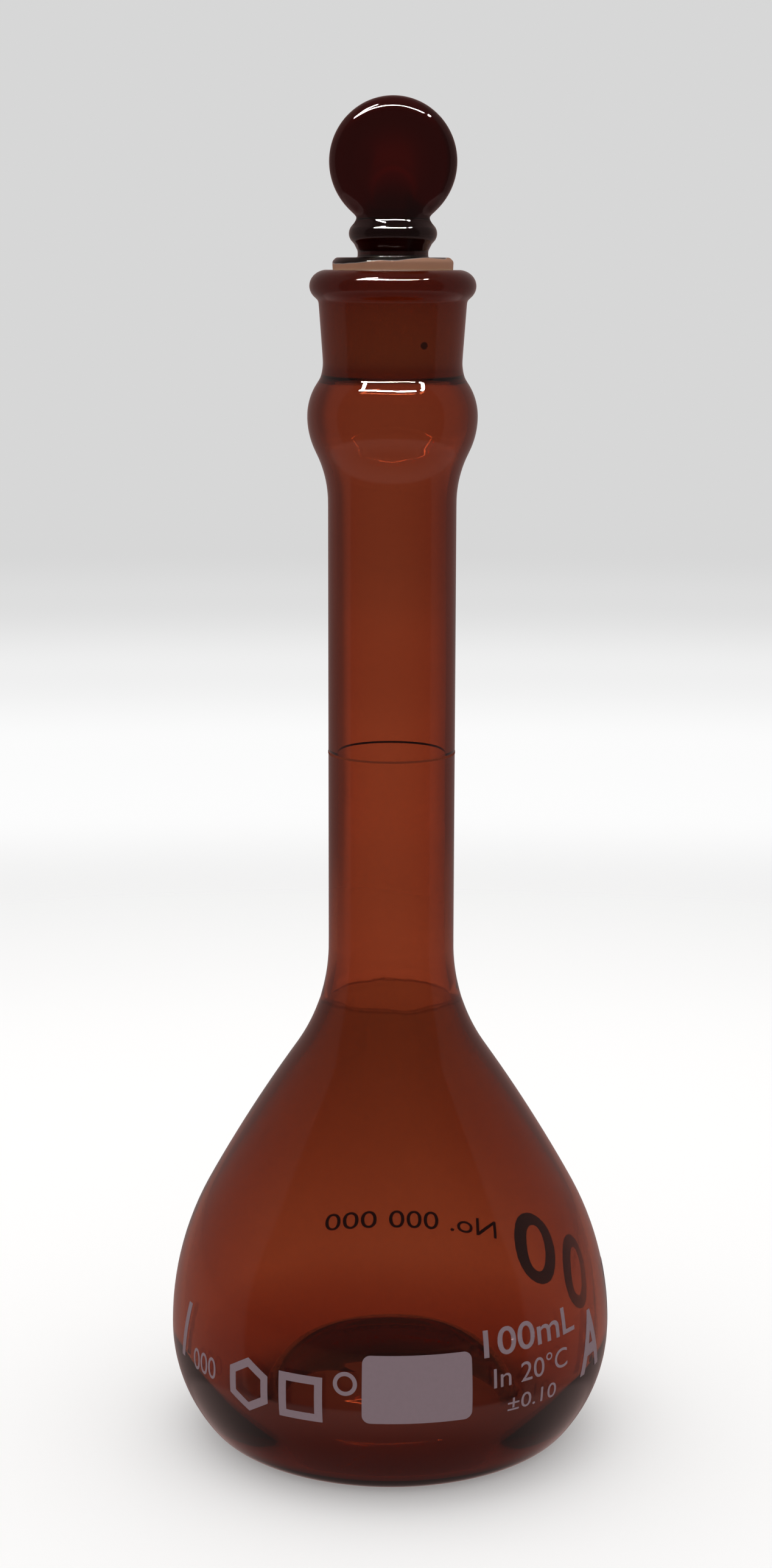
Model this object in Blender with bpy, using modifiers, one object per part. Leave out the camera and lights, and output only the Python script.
"""Amber volumetric flask for 100 ml, with one graduation line and a penny-head stopper.

The flask stands on the plane z = 0 with its axis on Z, and the stopper's flat head faces -Y.
Run it with blender --background --python part.py, or from Blender's text editor.
"""

import math

import bmesh
import bpy
from mathutils import Vector

MM = 0.001
ML = 1e-6

# Flask outside, in the order of its outline from the neck down to the base
NECK_RADIUS = 8.5 * MM
BULB_RADIUS = 30.3 * MM
FLANK_ARC = 210 * MM  # the nearly straight flank between the neck fillet and the shoulder
FLANK_TOP_ANGLE = 35.0  # degrees from the vertical, where the neck fillet ends
SHOULDER_ARC = 40.8 * MM
SHOULDER_ANGLE = 28.7
LOWER_ARC = 20.7 * MM  # from the widest point down to the heel
HEEL_ARC = 5.5 * MM
FOOT_RADIUS = 21.5 * MM  # outer edge of the flat ring that the flask stands on
FOOT_WIDTH = 1.4 * MM
FOOT_FILLET = 4.5 * MM  # from the flat ring into the push-up of the base
PUSH_UP = 11 * MM  # height of its middle above the ring
CROWN_ARC = 40 * MM  # its nearly flat top
CROWN_EDGE_ARC = 8 * MM  # round the edge of that top
WALL = 1.182 * MM
CAPACITY = 100 * ML  # up to the graduation line, at the bottom of the meniscus

# Reservoir bulge under the socket
BULGE_RADIUS = 11.22 * MM
BULGE_HEIGHT = 140.0 * MM  # of its widest point above the base
BULGE_LOWER_ARC = 10.4 * MM
BULGE_LOWER_ANGLE = 27.0
BULGE_UPPER_ARC = 7.8 * MM
BULGE_UPPER_ANGLE = 40.0

# Ground socket and its beaded rim
RIM_HEIGHT = 158.95 * MM
SOCKET_BOTTOM_RADIUS = 9.07 * MM
SOCKET_BOTTOM_HEIGHT = 146.2 * MM
BEAD_CENTRE = Vector((8.52, 156.85)) * MM
BEAD_WIDTH = 2.4 * MM  # from the bead's centre line out to its widest point
BEAD_LOWEST_ANGLE = -60.0
LIP_CHAMFER = 0.45 * MM

# Ground joint: the cone that the plug and the bore share
JOINT_TAPER = 1 / 20  # radius over length, the 1:10 of standard ground joints
PLUG_TOP_RADIUS = 7.9 * MM
PLUG_TOP = 160.0 * MM
PLUG_BOTTOM = 145.6 * MM
PLUG_EDGE = 0.5 * MM
BORE_CLEARANCE = 0.1 * MM

# Stopper above the plug
STEM_RADIUS = 4.6 * MM
STEM_BOTTOM = 160.5 * MM
STEM_TOP = 161.35 * MM
RING_RADIUS = 5.75 * MM
RING_HEIGHT = 163.55 * MM
RING_ARC = 1.5 * MM
RING_SPREAD = 55.0  # degrees of its arc above and below the middle, before it runs out straight
WAIST_RADIUS = 4.75 * MM
WAIST_HEIGHT = 165.7 * MM
HEAD_RADIUS = 8.28 * MM
HEAD_CENTRE = 172.65 * MM
HEAD_THICKNESS = 7.2 * MM
HEAD_EDGE_ARC = 2.3 * MM
HEAD_DISH = 0.8 * MM  # how much thinner each face is at its middle
DISH_STEPS = 4
ROOT_TOP_RADIUS = 2.2 * MM  # the waist runs up into the head as a cone
ROOT_TOP = 169.3 * MM

# Fired-on enamel
LINE_HEIGHT = 0.4 * MM
ENAMEL_THICKNESS = 0.1 * MM
ENAMEL_GAP = 0.05 * MM
PATCH_WIDTH = 14.6 * MM
PATCH_HEIGHT = 9.2 * MM
PATCH_CORNER = 1.1 * MM
PATCH_TURN = 6.8  # degrees round the flask from the front, towards +X
PATCH_RISE = 1.85 * MM  # height of its middle above the bulb's widest point

AROUND = 48  # facets round the axis, the same on the plug and the bore so that they stay parallel

GLASS_COLOUR = (0.26, 0.075, 0.02, 1)
ENAMEL_COLOUR = (0.34, 0.25, 0.27, 1)
LINE_COLOUR = (0.3, 0.06, 0.02, 1)


def arc(centre, radius, start, end, segments):
    """Points on a circle, from one angle to another in degrees, anticlockwise from the radial axis."""
    angles = [math.radians(start + (end - start) * i / segments) for i in range(segments + 1)]
    return [Vector(centre) + radius * Vector((math.cos(a), math.sin(a))) for a in angles]


def unit(degrees):
    return Vector((math.cos(math.radians(degrees)), math.sin(math.radians(degrees))))


def angle_of(direction):
    return math.degrees(math.atan2(direction.y, direction.x))


def distinct(points):
    """The points without repeats where one arc ends and the next begins."""
    kept = [points[0]]
    for point in points[1:]:
        if (point - kept[-1]).length > 1e-3 * MM:
            kept.append(point)
    return kept


def meeting(a, from_a, b, from_b):
    """The point at the given distances from two others, on the left of the way from a to b."""
    span = b - a
    along = (from_a**2 - from_b**2 + span.length_squared) / (2 * span.length)
    aside = math.sqrt(from_a**2 - along**2)
    way = span.normalized()
    return a + along * way + aside * Vector((-way.y, way.x))


def bulb_centres():
    """Centres of the arcs of the bulb and the base, from the neck down, all tangent to each other."""
    heel = Vector((FOOT_RADIUS, HEEL_ARC))
    lower_reach = LOWER_ARC - HEEL_ARC
    lower_x = BULB_RADIUS - LOWER_ARC
    widest = HEEL_ARC + math.sqrt(lower_reach**2 - (FOOT_RADIUS - lower_x) ** 2)
    lower = Vector((lower_x, widest))
    shoulder = Vector((BULB_RADIUS - SHOULDER_ARC, widest))
    flank = shoulder + (SHOULDER_ARC - FLANK_ARC) * unit(SHOULDER_ANGLE)
    flank_top = flank + FLANK_ARC * unit(FLANK_TOP_ANGLE)
    fillet_arc = (flank_top.x - NECK_RADIUS) / (1 - math.cos(math.radians(FLANK_TOP_ANGLE)))
    fillet = flank_top + fillet_arc * unit(FLANK_TOP_ANGLE)
    foot = Vector((FOOT_RADIUS - FOOT_WIDTH, FOOT_FILLET))
    crown = Vector((0, PUSH_UP - CROWN_ARC))
    edge = meeting(crown, CROWN_ARC - CROWN_EDGE_ARC, foot, CROWN_EDGE_ARC + FOOT_FILLET)
    return {
        "fillet": (fillet, fillet_arc),
        "flank": (flank, FLANK_ARC),
        "shoulder": (shoulder, SHOULDER_ARC),
        "lower": (lower, LOWER_ARC),
        "heel": (heel, HEEL_ARC),
        "foot": (foot, FOOT_FILLET),
        "edge": (edge, CROWN_EDGE_ARC),
        "crown": (crown, CROWN_ARC),
    }


def bulb_outline(inset, fineness=1):
    """The bulb's outline from the neck down to the axis, on the outer side or set in by the wall."""
    centres = bulb_centres()
    fillet, fillet_arc = centres["fillet"]
    lower, lower_arc = centres["lower"]
    heel = centres["heel"][0]
    foot = centres["foot"][0]
    edge = centres["edge"][0]
    crown = centres["crown"][0]
    heel_start = angle_of(heel - lower)
    foot_end = angle_of(edge - foot)
    crown_start = angle_of(edge - crown)
    points = arc(fillet, fillet_arc + inset, 180, 180 + FLANK_TOP_ANGLE, 5 * fineness)
    points += arc(centres["flank"][0], FLANK_ARC - inset, FLANK_TOP_ANGLE, SHOULDER_ANGLE, 2 * fineness)
    points += arc(centres["shoulder"][0], SHOULDER_ARC - inset, SHOULDER_ANGLE, 0, 4 * fineness)
    points += arc(lower, lower_arc - inset, 0, heel_start, 5 * fineness)
    points += arc(heel, HEEL_ARC - inset, heel_start, -90, 4 * fineness)
    points += arc(foot, FOOT_FILLET - inset, -90, foot_end, 2 * fineness)
    points += arc(edge, CROWN_EDGE_ARC + inset, foot_end + 180, crown_start, 4 * fineness)
    points += arc(crown, CROWN_ARC + inset, crown_start, 90, 2 * fineness)
    points[-1].x = 0
    return distinct(points)


def bulge_outline(inset, upper_angle):
    """The reservoir bulge from its top down to the neck."""
    upper = Vector((BULGE_RADIUS - BULGE_UPPER_ARC, BULGE_HEIGHT))
    lower = Vector((BULGE_RADIUS - BULGE_LOWER_ARC, BULGE_HEIGHT))
    flare_top = lower + BULGE_LOWER_ARC * unit(-BULGE_LOWER_ANGLE)
    flare_arc = (flare_top.x - NECK_RADIUS) / (1 - math.cos(math.radians(BULGE_LOWER_ANGLE)))
    flare = flare_top + flare_arc * unit(-BULGE_LOWER_ANGLE)
    points = arc(upper, BULGE_UPPER_ARC - inset, upper_angle, 0, 4)
    points += arc(lower, BULGE_LOWER_ARC - inset, 0, -BULGE_LOWER_ANGLE, 3)
    points += arc(flare, flare_arc + inset, 180 - BULGE_LOWER_ANGLE, 180, 3)
    return distinct(points)


def plug_radius(height):
    return PLUG_TOP_RADIUS - (PLUG_TOP - height) * JOINT_TAPER


def bore_radius(height):
    return plug_radius(height) + BORE_CLEARANCE


def socket_outline():
    """The socket's outer side from the lip of the rim down to the bulge."""
    lip = [
        Vector((bore_radius(RIM_HEIGHT - LIP_CHAMFER), RIM_HEIGHT - LIP_CHAMFER)),
        Vector((bore_radius(RIM_HEIGHT) + LIP_CHAMFER, RIM_HEIGHT)),
    ]
    bead_rise = RIM_HEIGHT - BEAD_CENTRE.y
    bead = [
        BEAD_CENTRE + Vector((BEAD_WIDTH * turn.x, bead_rise * turn.y))
        for turn in arc((0, 0), 1, 90, BEAD_LOWEST_ANGLE, 8)
    ]
    return distinct(lip + bead + [Vector((SOCKET_BOTTOM_RADIUS, SOCKET_BOTTOM_HEIGHT))])


def bore_bottom():
    """Where the bore's cone meets the inside of the bulge, and its angle on the bulge's arc."""
    centre = Vector((BULGE_RADIUS - BULGE_UPPER_ARC, BULGE_HEIGHT))
    radius = BULGE_UPPER_ARC - WALL
    low, high = BULGE_UPPER_ANGLE, 80.0
    for _ in range(40):
        middle = (low + high) / 2
        point = centre + radius * unit(middle)
        low, high = (middle, high) if point.x > bore_radius(point.y) else (low, middle)
    return middle, point


def flask_outline():
    """The whole wall of the flask: up its inside from the middle of the base, and down its outside."""
    inner_angle, bore_end = bore_bottom()
    inside = bulge_outline(WALL, inner_angle) + bulb_outline(WALL)
    outside = socket_outline() + bulge_outline(0, BULGE_UPPER_ANGLE) + bulb_outline(0)
    return distinct(inside[::-1] + [bore_end] + outside)


def mark_height():
    """Height of the graduation line: the inside holds the stated capacity up to it."""
    inside = bulb_outline(WALL, fineness=20)[::-1]
    held = sum(
        math.pi / 3 * (a.x**2 + a.x * b.x + b.x**2) * (b.y - a.y) for a, b in zip(inside, inside[1:])
    )
    return inside[-1].y + (CAPACITY - held) / (math.pi * (NECK_RADIUS - WALL) ** 2)


def plug_and_stem_outline():
    """The turned part of the stopper, from the top of the root inside the head down to the plug's end."""
    ring_centre = Vector((RING_RADIUS - RING_ARC, RING_HEIGHT))
    chamfer = STEM_BOTTOM - PLUG_TOP
    return (
        [Vector((0, ROOT_TOP)), Vector((ROOT_TOP_RADIUS, ROOT_TOP))]
        + [Vector((WAIST_RADIUS, WAIST_HEIGHT))]
        + arc(ring_centre, RING_ARC, RING_SPREAD, -RING_SPREAD, 5)
        + [
            Vector((STEM_RADIUS, STEM_TOP)),
            Vector((STEM_RADIUS, STEM_BOTTOM)),
            Vector((PLUG_TOP_RADIUS - chamfer, STEM_BOTTOM)),
            Vector((PLUG_TOP_RADIUS, PLUG_TOP)),
            Vector((plug_radius(PLUG_BOTTOM + PLUG_EDGE), PLUG_BOTTOM + PLUG_EDGE)),
            Vector((plug_radius(PLUG_BOTTOM) - PLUG_EDGE, PLUG_BOTTOM)),
            Vector((0, PLUG_BOTTOM)),
        ]
    )


def head_outline():
    """The head's thickness profile, from the middle of one face to the other: dished faces, rounded edge."""
    half = HEAD_THICKNESS / 2
    edge_centre = Vector((HEAD_RADIUS - HEAD_EDGE_ARC, half - HEAD_EDGE_ARC))
    front = []
    for i in range(DISH_STEPS):
        share = i / DISH_STEPS
        front.append(Vector((edge_centre.x * share, half - HEAD_DISH * (1 - share**2) ** 2)))
    front += arc(edge_centre, HEAD_EDGE_ARC, 90, 0, 6)
    back = [Vector((point.x, -point.y)) for point in reversed(front)]
    return distinct(front + back)


def new_object(name, mesh, collection):
    piece = bpy.data.objects.new(name, mesh)
    collection.objects.link(piece)
    return piece


def turned(name, outline, collection, base=0.0):
    """A body of revolution about Z from its outline, with its origin at the height of base."""
    form = bmesh.new()
    corners = [form.verts.new((point.x, 0, point.y - base)) for point in outline]
    for first, second in zip(corners, corners[1:]):
        form.edges.new((first, second))
    mesh = bpy.data.meshes.new(name)
    form.to_mesh(mesh)
    form.free()
    piece = new_object(name, mesh, collection)
    piece.location.z = base
    turn = piece.modifiers.new("turn", "SCREW")
    turn.steps = turn.render_steps = AROUND
    turn.use_merge_vertices = True
    turn.merge_threshold = 1e-6
    return piece


def glass(name, roughness):
    material = bpy.data.materials.new(name)
    material.use_nodes = True
    shader = material.node_tree.nodes["Principled BSDF"]
    shader.inputs["Base Color"].default_value = GLASS_COLOUR
    shader.inputs["Roughness"].default_value = roughness
    shader.inputs["Transmission Weight"].default_value = 1.0
    shader.inputs["IOR"].default_value = 1.47
    material.diffuse_color = GLASS_COLOUR
    return material


def enamel(name, colour):
    material = bpy.data.materials.new(name)
    material.use_nodes = True
    shader = material.node_tree.nodes["Principled BSDF"]
    shader.inputs["Base Color"].default_value = colour
    shader.inputs["Roughness"].default_value = 0.45
    material.diffuse_color = colour
    return material


def make_flask_body(collection):
    body = turned("flask_body", flask_outline(), collection)
    body.data.materials.append(glass("flask_glass", 0.0))
    return body


def make_stopper(collection, helpers):
    """The turned plug and stem joined with the flat head that stands upright on it."""
    stopper = turned("stopper", plug_and_stem_outline(), collection, base=RIM_HEIGHT)
    head = turned("stopper_head_form", head_outline(), helpers)
    head.rotation_euler.x = math.radians(90)
    head.location.z = HEAD_CENTRE
    head.hide_render = True
    head.display_type = "WIRE"
    join = stopper.modifiers.new("join_head", "BOOLEAN")
    join.operation = "UNION"
    join.object = head
    stopper.data.materials.append(glass("stopper_glass", 0.05))
    return stopper


def make_graduation_ring(collection):
    """The line round the neck, a thin band that clears the glass."""
    inner = NECK_RADIUS + ENAMEL_GAP
    outer = inner + ENAMEL_THICKNESS
    half = LINE_HEIGHT / 2
    height = mark_height()
    section = [(inner, half), (outer, half), (outer, -half), (inner, -half), (inner, half)]
    outline = [Vector((radius, height + rise)) for radius, rise in section]
    ring = turned("graduation_ring", outline, collection, base=height)
    ring.data.materials.append(enamel("line_enamel", LINE_COLOUR))
    return ring


def bulb_surface(length):
    """The point on the bulb's outline at a length above its widest point, and the outward direction."""
    lower = bulb_centres()["lower"][0]
    shoulder = bulb_centres()["shoulder"][0]
    centre, radius = (lower, LOWER_ARC) if length < 0 else (shoulder, SHOULDER_ARC)
    angle = math.degrees(length / radius)
    return centre + radius * unit(angle), unit(angle)


def make_marking_patch(collection):
    """The matt patch for writing on: a rounded rectangle laid on the front of the bulb."""
    columns, rows = 12, 8
    form = bmesh.new()
    bmesh.ops.create_grid(form, x_segments=columns, y_segments=rows, size=1.0)
    half_width, half_height = PATCH_WIDTH / 2, PATCH_HEIGHT / 2
    for corner in form.verts:
        up = math.copysign(1 - (1 - abs(corner.co.y)) ** 1.6, corner.co.y) * half_height
        into_corner = max(0.0, abs(up) - (half_height - PATCH_CORNER))
        narrowing = PATCH_CORNER - math.sqrt(max(0.0, PATCH_CORNER**2 - into_corner**2))
        across = corner.co.x * (half_width - narrowing)
        surface, outward = bulb_surface(PATCH_RISE + up)
        laid = surface + ENAMEL_GAP * outward
        turn = math.radians(PATCH_TURN) + across / laid.x
        corner.co = (laid.x * math.sin(turn), -laid.x * math.cos(turn), laid.y)
    mesh = bpy.data.meshes.new("marking_patch")
    form.to_mesh(mesh)
    form.free()
    patch = new_object("marking_patch", mesh, collection)
    skin = patch.modifiers.new("thickness", "SOLIDIFY")
    skin.thickness = ENAMEL_THICKNESS
    skin.offset = 1.0
    patch.data.materials.append(enamel("patch_enamel", ENAMEL_COLOUR))
    return patch


def clear_scene():
    for thing in list(bpy.data.objects):
        bpy.data.objects.remove(thing, do_unlink=True)


def new_collection(name):
    collection = bpy.data.collections.new(name)
    bpy.context.scene.collection.children.link(collection)
    return collection


def main():
    clear_scene()
    parts = new_collection("volumetric_flask")
    helpers = new_collection("helper_forms")
    root = new_object("volumetric_flask", None, parts)
    pieces = [
        make_flask_body(parts),
        make_stopper(parts, helpers),
        make_graduation_ring(parts),
        make_marking_patch(parts),
    ]
    for piece in pieces:
        piece.parent = root
        if piece.name != "marking_patch":
            piece.data.polygons.foreach_set("use_smooth", [True] * len(piece.data.polygons))


main()
